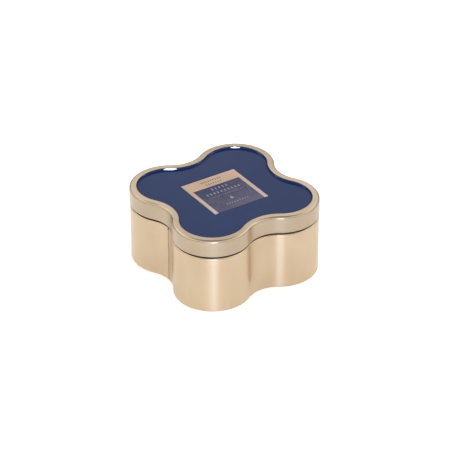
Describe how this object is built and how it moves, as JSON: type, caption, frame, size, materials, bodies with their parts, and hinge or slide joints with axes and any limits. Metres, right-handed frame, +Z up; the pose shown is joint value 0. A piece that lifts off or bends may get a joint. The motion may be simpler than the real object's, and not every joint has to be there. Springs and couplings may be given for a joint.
{
  "type": "scented candle tin",
  "caption": "Four-lobed tinplate candle tin with a lift-off slip lid that has a raised rim round a recessed panel, and poured wax with wicks inside.",
  "frame": {"origin": "centre of the foot rim's plane, on the surface that the tin stands on", "axes": "+Z up through the lid; the four lobes lie on the diagonals and the valleys on +X, -X, +Y and -Y; the side seam is in the -X valley; the top edge of the lid's label faces +Y"},
  "size_m": [0.12, 0.12, 0.062],
  "materials": {
    "tin_gold": "satin",
    "lid_gold": "satin",
    "tin_inside": "satin",
    "foil_label": "satin",
    "paper_label": "matte",
    "wax": "satin",
    "wick_cotton": "matte",
    "tab_tinplate": "satin",
    "pad_foam": "matte"
  },
  "bodies": {
    "tin": {"body_wall": "tin_gold", "base_plate": "tin_inside", "base_label": "paper_label", "wax_fill": "wax", "wick_1": "wick_cotton", "wick_2": "wick_cotton", "wick_3": "wick_cotton", "wick_4": "wick_cotton", "wick_tab_1": "tab_tinplate", "wick_tab_2": "tab_tinplate", "wick_tab_3": "tab_tinplate", "wick_tab_4": "tab_tinplate", "wick_sticker_1": "pad_foam", "wick_sticker_2": "pad_foam", "wick_sticker_3": "pad_foam", "wick_sticker_4": "pad_foam"},
    "lid": {"lid": "lid_gold", "lid_label": "foil_label"}
  },
  "joints": [
    {"name": "lid_lift", "type": "slide", "parent": "tin", "child": "lid", "axis": [0, 0, 1], "range_m": [0, 0.09]}
  ]
}
